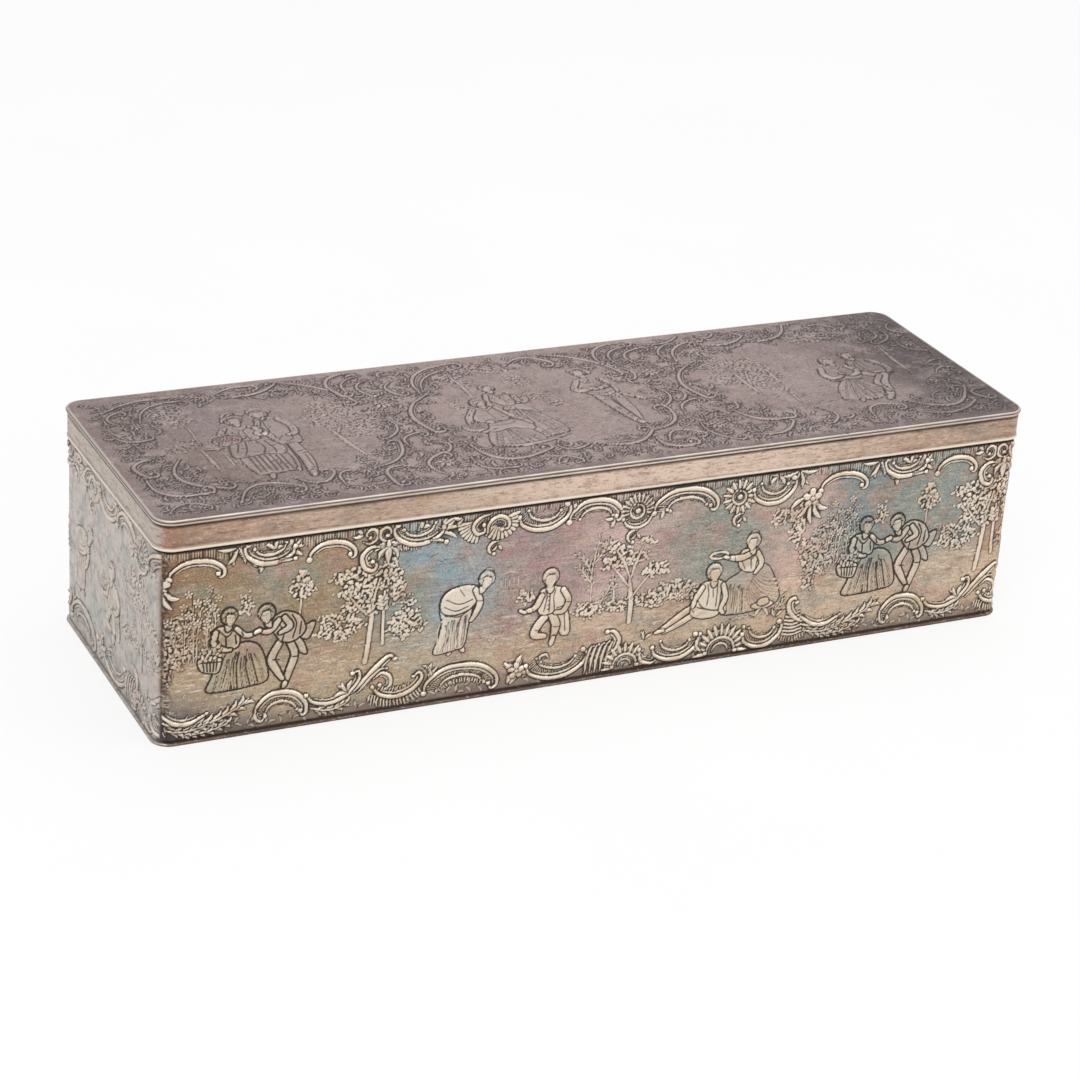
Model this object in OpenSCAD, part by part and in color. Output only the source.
// Long hinged silverware chest in pressed silver plate, all sizes in millimetres.
// X runs along the chest, Y from the front to the hinge at the back, Z up.
// The origin is the middle of the face that the chest stands on.

/* [Case] */
// Length over the lid and the base plate
case_l = 300; // [270:1:340]
// Width over the lid and the base plate, without the hinge
case_w = 96; // [88:1:120]
// Height from the table to the top of the closed lid
case_h = 75; // [66:1:90]
// Depth of the lid from its top face to the lower edge of its rim
lid_h = 10.2; // [9:0.1:14]
// Radius of the upright corners of the lid and the base plate
corner_r = 6.2; // [5.8:0.1:12]
// How far the lid and the base plate stand out past the walls
overhang = 1.0; // [0.8:0.1:2]
// Open line between the lid rim and the top edge of the pressed wall
lid_gap = 0.6; // [0.3:0.1:1]

/* [Sheet metal] */
// Thickness of the pressed outer wall
skin_t = 0.6; // [0.4:0.1:1]
// Thickness of the plain inner wall
inner_t = 0.8; // [0.6:0.1:1.2]
// How far the plain inner wall rises into the lid
bezel_h = 2.8; // [2:0.1:4]
// Thickness of the base plate
base_t = 1.0; // [0.8:0.1:2]
// Thickness of the lid plate
lid_t = 0.8; // [0.6:0.1:1.2]
// Thickness of the lid rim
rim_t = 0.8; // [0.6:0.1:1]
// How far the lid plate stands out past the rim
rim_inset = 0.4; // [0.3:0.1:0.6]
// Height of the flange along the top of the lid rim
flange_h = 0.5; // [0.4:0.1:0.8]

/* [Pressed ornament] */
// Height of the pressed forms over the outer wall
press_h = 0.5; // [0.3:0.1:0.7]
// Length after which the pressed ornament repeats
press_repeat = 220; // [200:1:240]

/* [Lining] */
// Thickness of the wooden boards along the walls
board_t = 2.5; // [2:0.1:4]
// Thickness of the wooden floor board
floor_t = 3.0; // [2:0.1:4]
// Thickness of the wooden board in the lid
lid_board_t = 2.4; // [2:0.1:3]
// Thickness of the velvet-covered cards on the walls and the floor
pad_t = 1.5; // [1:0.1:2.5]
// Thickness of the padded lining in the lid
lid_pad_t = 2.2; // [1.5:0.1:2.5]
// Clearance between layers that are pushed in behind each other
fit = 0.1; // [0.05:0.05:0.2]
// Clearance round the padded lining in the lid
lid_pad_gap = 1.4; // [1:0.1:3]

/* [Racks] */
// Distance between the middles of the two notched racks
rack_span = 160; // [120:1:190]
// Thickness of a rack along the chest
rack_t = 12; // [8:1:16]
// Height of a rack above the floor lining
rack_h = 26; // [20:1:34]
// Width of a notch
notch_w = 6.0; // [5:0.1:7]
// Depth of a notch from the top of the rack
notch_d = 14; // [10:1:16]
// Distance between the middles of two notches
notch_pitch = 12.5; // [11:0.1:16]

/* [Hinge] */
// Length of the row of knuckles
hinge_l = 238; // [180:1:250]
// Number of knuckles, odd so that the case holds both ends
knuckle_n = 9; // [5:2:11]
// Outer radius of a knuckle
knuckle_r = 1.9; // [1.7:0.1:2.4]
// Radius of the hinge pin
pin_r = 0.9; // [0.7:0.05:1.1]
// Radial clearance of the pin in a knuckle
pin_clear = 0.05; // [0.02:0.01:0.1]
// Gap between two knuckles
knuckle_gap = 0.3; // [0.2:0.05:0.5]
// Height of the leaf on the case below the knuckles
case_leaf_h = 8; // [5:0.5:12]
// Height of the leaf on the lid above the knuckles
lid_leaf_h = 6.5; // [5:0.1:7]
// How far the lid opens before its stop heels meet the case leaf, in degrees
open_angle = 100; // [95:1:110]
// Length of a stop heel from the hinge axis
heel_l = 3.1; // [2.8:0.1:4]
// Play between a stop heel and the case leaf when the lid is open
heel_play = 0.05; // [0.03:0.01:0.1]
// Length of the round head on each end of the pin
head_l = 1.2; // [1:0.1:2]
// How far a pin head stands out past the pin's surface
head_lip = 0.7; // [0.4:0.1:0.8]

/* [Hidden] */
$fn = 64;
cut = 0.5;
wall_out = overhang;
inner_out = wall_out + skin_t + fit;
board_out = inner_out + inner_t + fit;
pad_out = board_out + board_t + fit;
well_out = pad_out + pad_t;

floor_z = base_t + fit;
pad_z = floor_z + floor_t + fit;
well_z = pad_z + pad_t;
rim_z = case_h - lid_h;
wall_top = rim_z - lid_gap;
bezel_top = wall_top + bezel_h;
board_top = wall_top - 1;
pad_top = board_top - 1;

lid_plate_z = case_h - lid_t;
lid_inner = rim_inset + rim_t;
lid_board_z = lid_plate_z - fit - lid_board_t;
lid_pad_z = lid_board_z - fit - lid_pad_t;

well_l = case_l - 2 * well_out;
well_w = case_w - 2 * well_out;
rack_l = well_w - 2 * fit;
notch_n = floor((rack_l - (notch_pitch - notch_w)) / notch_pitch);

bore_r = pin_r + pin_clear;
case_back = case_w / 2 - wall_out;
lid_back = case_w / 2 - rim_inset;
hinge_clear = 0.2;
axis_y = case_w / 2 + hinge_clear + knuckle_r;
axis_z = rim_z - lid_gap / 2;
leaf_back = axis_y - bore_r - (knuckle_r - bore_r) * 0.2;
knuckle_l = (hinge_l - (knuckle_n - 1) * knuckle_gap) / knuckle_n;
knuckle_step = knuckle_l + knuckle_gap;
heel_t = 0.8;
heel_w = knuckle_l / 2;

leaf_low = wall_top - case_leaf_h;

// The pressed ornament is drawn on a strip 220 long and 66 high, and stretched to the wall.
strip_l = 220;
strip_h = 63.2;
strip_low = 1;
// Place on the strip of the middle of the front, the right end, the back and the left end
strip_start = [0, -116, 20, -23.4];

SILVER = [0.62, 0.58, 0.54];
BRIGHT = [0.76, 0.70, 0.60];
BRASS = [0.68, 0.55, 0.32];
WOOD = [0.45, 0.26, 0.15];
VELVET = [0.20, 0.06, 0.12];

// The lid's outline in plan, moved inwards on every side.
module outline(inset) {
    half_x = case_l / 2 - inset;
    half_y = case_w / 2 - inset;
    r = corner_r - inset;
    if (r > 0.3) {
        square([2 * half_x, 2 * (half_y - r)], center = true);
        square([2 * (half_x - r), 2 * half_y], center = true);
        for (x = [-1, 1], y = [-1, 1])
            translate([x * (half_x - r), y * (half_y - r)])
                circle(r);
    } else {
        square([2 * half_x, 2 * half_y], center = true);
    }
}

// A flat plate with the lid's outline.
module plate(inset, z, thickness) {
    translate([0, 0, z])
        linear_extrude(thickness)
            outline(inset);
}

// An upright band with the lid's outline.
module band(inset, thickness, z, height) {
    translate([0, 0, z])
        linear_extrude(height)
            difference() {
                outline(inset);
                outline(inset + thickness);
            }
}

// One long side of a layer that lines the walls; side is -1 at the front and 1 at the back.
module long_layer(side, inset, thickness, z, height) {
    y_out = case_w / 2 - inset;
    y_mid = side * (y_out - thickness / 2);
    translate([0, 0, z])
        linear_extrude(height)
            intersection() {
                outline(inset);
                translate([0, y_mid])
                    square([case_l, thickness], center = true);
            }
}

// One short side of the same layer, fitted between the long sides.
module end_layer(side, inset, thickness, z, height) {
    length = case_w - 2 * (inset + thickness + fit);
    x_mid = side * (case_l / 2 - inset - thickness / 2);
    translate([x_mid, 0, z + height / 2])
        cube([thickness, length, height], center = true);
}

module base_plate() {
    color(SILVER)
        plate(0, 0, base_t);
}

// The outline of a ridge along a row of points, narrower at its ends.
function along(p, i) = p[min(i + 1, len(p) - 1)] - p[max(i - 1, 0)];
function across(p, i) = let (d = along(p, i)) [-d[1], d[0]] / norm(d);
function share(i, n) = i == 0 || i == n ? 0.3 : 0.5;
function ridge(p, w) = let (n = len(p) - 1) concat(
    [for (i = [0 : n]) p[i] + across(p, i) * w * share(i, n)],
    [for (i = [n : -1 : 0]) p[i] - across(p, i) * w * share(i, n)]
);

// A crescent scroll with its belly at x, y; turn is -1 where its high end is on the left.
function crescent(x, y, half, tall, turn) = ridge([
    for (q = [[-1, 0.75], [-0.6, 0.12], [0.2, 0], [0.8, 0.38], [0.96, 0.95]])
        [x + turn * half * q[0], y + tall * q[1]]
], 2.3);

// An arched scroll with its top at x, y.
function arch(x, y, half, tall) = ridge([
    for (q = [[-1, -0.95], [-0.65, -0.2], [0, 0], [0.65, -0.2], [0.95, -1]])
        [x + half * q[0], y + tall * q[1]]
], 2.2);

// A flower, rosette or clump of leaves, and a shell that stands on its flat side.
function clump(x, y, rx, ry) = [for (a = [22.5 : 45 : 360]) [x + rx * cos(a), y + ry * sin(a)]];
function shell(x, y, r) = [for (a = [0 : 36 : 180]) [x + r * cos(a), y + r * sin(a)]];

// Scrolls, flowers and shells of the two borders, and the figures between them.
HIGH_FORMS = [
    crescent(-114.6, 57, 8, 5.6, -1), crescent(-66.6, 56.6, 8.2, 5.8, -1),
    crescent(-24.2, 55.7, 8.8, 6.4, 1), crescent(57, 54, 7.8, 7, 1),
    arch(-94.3, 61, 7.6, 5.2), arch(-6.3, 62.4, 8.4, 6.4), arch(25.4, 62.2, 10.6, 6.8), arch(83, 60.7, 8.8, 5.4),
    clump(-79.5, 61, 3.8, 2.4), clump(-46, 59.6, 3.6, 4), clump(-38.4, 59.4, 4, 4.2),
    clump(8, 57.8, 5, 4.6), clump(44.3, 57.6, 5.4, 5.6), clump(71.2, 53.4, 3.2, 3.2),
    ridge([[-79, 57], [-76.4, 53], [-71, 55.4], [-65.6, 54]], 1.8),
    ridge([[-85.6, 56.2], [-84, 51], [-81, 49.8]], 1.8),

    ridge([[-146, 7], [-140, 6], [-132, 6.4], [-125, 9.2], [-119.6, 12.6]], 3.4),
    arch(-109.6, 12.6, 8.2, 7.8),
    ridge([[-99.6, 8], [-93, 6.2], [-87.8, 8.8], [-85, 13.4]], 2.2),
    ridge([[-84.6, 10], [-80.4, 14.6], [-76, 18.8]], 2.4),
    ridge([[-80.2, 8.6], [-77, 6], [-71.8, 4.8], [-66.4, 6.4], [-63.6, 10]], 2.2),
    arch(-49.6, 12.2, 12, 8.4), clump(-31, 7.6, 4.8, 4.8), crescent(-16.8, 3.2, 10, 7, 1),
    ridge([[-4.8, 3], [-3.4, 10.6]], 1.8), ridge([[-1, 3], [0.6, 10.6]], 1.8),
    shell(7.4, 2.6, 5.4), crescent(25.6, 3.2, 8.2, 6.6, 1), shell(42.2, 2.6, 6.8),
    crescent(57.6, 3.2, 6.6, 6.6, 1),
    ridge([[65.4, 4.4], [68.6, 3.8], [72.2, 4.4]], 1.4), ridge([[65.6, 8], [68.6, 7.4], [72, 8]], 1.4),
    ridge([[70.4, 12.4], [76, 8.4], [81, 7], [86.5, 9.2]], 2.2),

    [[-133.4, 17.4], [-114.8, 18], [-117.4, 29.8], [-123.8, 33], [-124.2, 41], [-126.7, 43.2], [-129.4, 41],
     [-131.8, 36.4], [-131, 30.8]],
    [[-109.8, 16], [-107.6, 16], [-105.4, 23], [-102.2, 25.6], [-103, 35], [-105.2, 38.8], [-112.4, 39.6],
     [-113.6, 42.2], [-117.4, 42], [-117.4, 37.4], [-113, 35], [-114, 24.6]],
    [[-59.2, 18], [-50, 18], [-47.4, 29], [-45, 30.6], [-44.8, 38.2], [-40.8, 39.8], [-41.6, 43.2], [-45.4, 43],
     [-47.6, 39.8], [-54, 39.4], [-58.2, 36.4], [-58.2, 31]],
    [[-25.2, 18.4], [-13.2, 17.4], [-14.2, 31], [-17, 35.2], [-18.2, 40.4], [-23.6, 40.4], [-23.8, 35],
     [-25.6, 30.4], [-30.4, 28.4], [-30.4, 27], [-24.8, 26.4]],
    [[43.6, 17.4], [53, 16.4], [62, 19.6], [60.2, 26], [54.6, 31], [53.6, 41.6], [48.8, 42.6], [47.8, 38.4],
     [44.4, 37.4], [44.4, 34.8], [46.8, 33.6]],
    [[20.8, 12.6], [39, 16.4], [42, 21], [41.8, 28.6], [40, 34.2], [35.6, 34.2], [33, 28.4], [32.2, 22.4], [29, 19.4]]
];

// Trees and bushes, which are pressed less deep.
LOW_FORMS = [
    clump(-104, 47.8, 4.2, 4.4), clump(-93.4, 32, 7.6, 5.2), clump(-69.4, 30.2, 7, 5),
    clump(-88, 47.6, 7, 4.2), clump(-76.4, 45.4, 3.6, 5.4), ridge([[-82.4, 20.6], [-81.6, 28], [-81.4, 40]], 2),
    clump(-5.8, 25.6, 5.6, 3.4), clump(1.4, 40, 5.4, 3), clump(11, 45, 4.2, 3), clump(16.4, 36, 5, 3),
    ridge([[7.8, 20], [8, 26], [7, 34]], 2.2), clump(23.4, 27.6, 7, 4.4),
    ridge([[-6.2, 31], [-6.4, 38], [-4.6, 49]], 3),
    ridge([[78.8, 28], [79.4, 36], [80, 45]], 2.6), ridge([[85.4, 30], [86, 38], [87, 46]], 2.6),
    ridge([[67, 38], [66.6, 44], [65.6, 49]], 3.6)
];

// Stretches the points of a form to one side of the case; round is how often the strip has repeated.
function stretched(p, side, round) = [
    for (q = p)
        [(q[0] - strip_start[side] + round * strip_l) * press_repeat / strip_l,
         base_t + (q[1] - strip_low) * (wall_top - base_t) / strip_h]
];

// Whether a form lies on the flat of its side and clear of the hinge leaf.
function reach(p) = max([for (q = p) abs(q[0])]);
function near(p) = min([for (q = p) abs(q[0])]);
function top(p) = max([for (q = p) q[1]]);
function lies_flat(p, side) =
    let (length = side % 2 == 0 ? case_l : case_w)
    reach(p) < length / 2 - corner_r - 0.6
        && (side != 2 || top(p) < leaf_low - 0.5 || near(p) > hinge_l / 2 + head_l + 1);

// The forms of one list on one side of the case, seen from outside with X to the right.
module pressed_forms(forms, side, height) {
    depth = (side % 2 == 0 ? case_w : case_l) / 2 - wall_out;
    rotate([0, 0, 90 * side])
        translate([0, skin_t / 2 - depth, 0])
            rotate([90, 0, 0])
                linear_extrude(skin_t / 2 + height)
                    for (form = forms, round = [-2 : 2]) {
                        p = stretched(form, side, round);
                        if (lies_flat(p, side))
                            polygon(p);
                    }
}

module pressed_wall() {
    color(SILVER)
        union() {
            band(wall_out, skin_t, base_t, wall_top - base_t);
            for (side = [0 : 3]) {
                pressed_forms(HIGH_FORMS, side, press_h);
                pressed_forms(LOW_FORMS, side, 0.6 * press_h);
            }
        }
}

module inner_wall() {
    color(BRIGHT)
        band(inner_out, inner_t, base_t, bezel_top - base_t);
}

module floor_board() {
    color(WOOD)
        plate(board_out, floor_z, floor_t);
}

module wall_board(side) {
    color(WOOD)
        long_layer(side, board_out, board_t, pad_z, board_top - pad_z);
}

module end_board(side) {
    color(WOOD)
        end_layer(side, board_out, board_t, pad_z, board_top - pad_z);
}

module floor_lining() {
    color(VELVET)
        translate([0, 0, pad_z + pad_t / 2])
            cube([case_l - 2 * pad_out, case_w - 2 * pad_out, pad_t], center = true);
}

module wall_lining(side) {
    z = well_z + fit;
    color(VELVET)
        translate([0, side * (case_w / 2 - pad_out - pad_t / 2), (z + pad_top) / 2])
            cube([case_l - 2 * pad_out, pad_t, pad_top - z], center = true);
}

module end_lining(side) {
    z = well_z + fit;
    color(VELVET)
        end_layer(side, pad_out, pad_t, z, pad_top - z);
}

// A bar across the chest with a row of round-bottomed notches along its top.
module rack(side) {
    z = well_z + fit;
    round_z = z + rack_h - notch_d + notch_w / 2;
    color(VELVET)
        translate([side * rack_span / 2, 0, 0])
            difference() {
                translate([0, 0, z + rack_h / 2])
                    cube([rack_t, rack_l, rack_h], center = true);
                for (i = [0 : notch_n - 1])
                    translate([0, (i - (notch_n - 1) / 2) * notch_pitch, round_z]) {
                        rotate([0, 90, 0])
                            cylinder(h = rack_t + 2 * cut, d = notch_w, center = true);
                        translate([0, 0, notch_d / 2])
                            cube([rack_t + 2 * cut, notch_w, notch_d], center = true);
                    }
            }
}

// Every second knuckle of the row, from the one numbered first, with the pin's bore in them.
module knuckles(first) {
    for (i = [first : 2 : knuckle_n - 1])
        translate([-hinge_l / 2 + i * knuckle_step, axis_y, axis_z])
            rotate([0, 90, 0])
                cylinder(h = knuckle_l, r = knuckle_r);
}

module bore() {
    translate([0, axis_y, axis_z])
        rotate([0, 90, 0])
            cylinder(h = hinge_l + 2 * cut, r = bore_r, center = true);
}

// The web that carries a knuckle from its leaf; it reaches into the barrel but not the bore.
module webs(first, z_low, z_high, y_front) {
    for (i = [first : 2 : knuckle_n - 1])
        translate([-hinge_l / 2 + i * knuckle_step, y_front, z_low])
            cube([knuckle_l, leaf_back - y_front, z_high - z_low]);
}

module case_hinge_leaf() {
    leaf_top = axis_z - lid_gap / 2;
    color(BRASS)
        difference() {
            union() {
                translate([-hinge_l / 2, case_back, leaf_top - case_leaf_h])
                    cube([hinge_l, leaf_back - case_back, case_leaf_h - knuckle_r]);
                webs(0, leaf_top - knuckle_r - cut, axis_z - cut, case_back);
                knuckles(0);
            }
            bore();
        }
}

module lid_hinge_leaf() {
    leaf_low = axis_z + lid_gap / 2;
    color(BRASS)
        difference() {
            union() {
                translate([-hinge_l / 2, lid_back, leaf_low + knuckle_r])
                    cube([hinge_l, leaf_back - lid_back, lid_leaf_h - knuckle_r]);
                webs(1, axis_z + cut, leaf_low + knuckle_r + cut, lid_back);
                knuckles(1);
                stop_heels();
            }
            bore();
        }
}

// Flat heels on the lid's knuckles; with the lid open they lie against the case leaf's back.
module stop_heels() {
    for (i = [1 : 2 : knuckle_n - 1])
        translate([-hinge_l / 2 + i * knuckle_step + (knuckle_l - heel_w) / 2, axis_y, axis_z])
            rotate([open_angle, 0, 0])
                translate([0, leaf_back - axis_y + heel_play, -heel_l])
                    cube([heel_w, heel_t, heel_l]);
}

module hinge_pin() {
    color(BRIGHT)
        translate([0, axis_y, axis_z])
            rotate([0, 90, 0])
                cylinder(h = hinge_l, r = pin_r, center = true);
}

// A domed head on each end of the pin, flat where it meets the end knuckle.
module pin_heads() {
    head_r = pin_r + head_lip;
    color(BRIGHT)
        for (side = [-1, 1])
            translate([side * hinge_l / 2, axis_y, axis_z])
                rotate([0, side * 90, 0])
                    rotate_extrude()
                        intersection() {
                            translate([0, head_l - head_r])
                                circle(head_r);
                            square([head_r, head_l]);
                        }
}

module lid_plate() {
    color(SILVER)
        plate(0, lid_plate_z, lid_t);
}

module lid_rim() {
    color(BRIGHT)
        union() {
            band(rim_inset, rim_t, rim_z, lid_plate_z - rim_z);
            band(rim_inset / 2, rim_t, lid_plate_z - flange_h, flange_h);
        }
}

module lid_board() {
    color(WOOD)
        plate(lid_inner + fit, lid_board_z, lid_board_t);
}

module lid_lining() {
    color(VELVET)
        plate(lid_inner + lid_pad_gap, lid_pad_z, lid_pad_t);
}

base_plate();
pressed_wall();
inner_wall();
floor_board();
wall_board(-1);  // front_board
wall_board(1);  // back_board
end_board(-1);  // left_board
end_board(1);  // right_board
floor_lining();
wall_lining(-1);  // front_lining
wall_lining(1);  // back_lining
end_lining(-1);  // left_lining
end_lining(1);  // right_lining
rack(-1);  // left_rack
rack(1);  // right_rack
case_hinge_leaf();
hinge_pin();
pin_heads();
lid_hinge_leaf();
lid_plate();
lid_rim();
lid_board();
lid_lining();
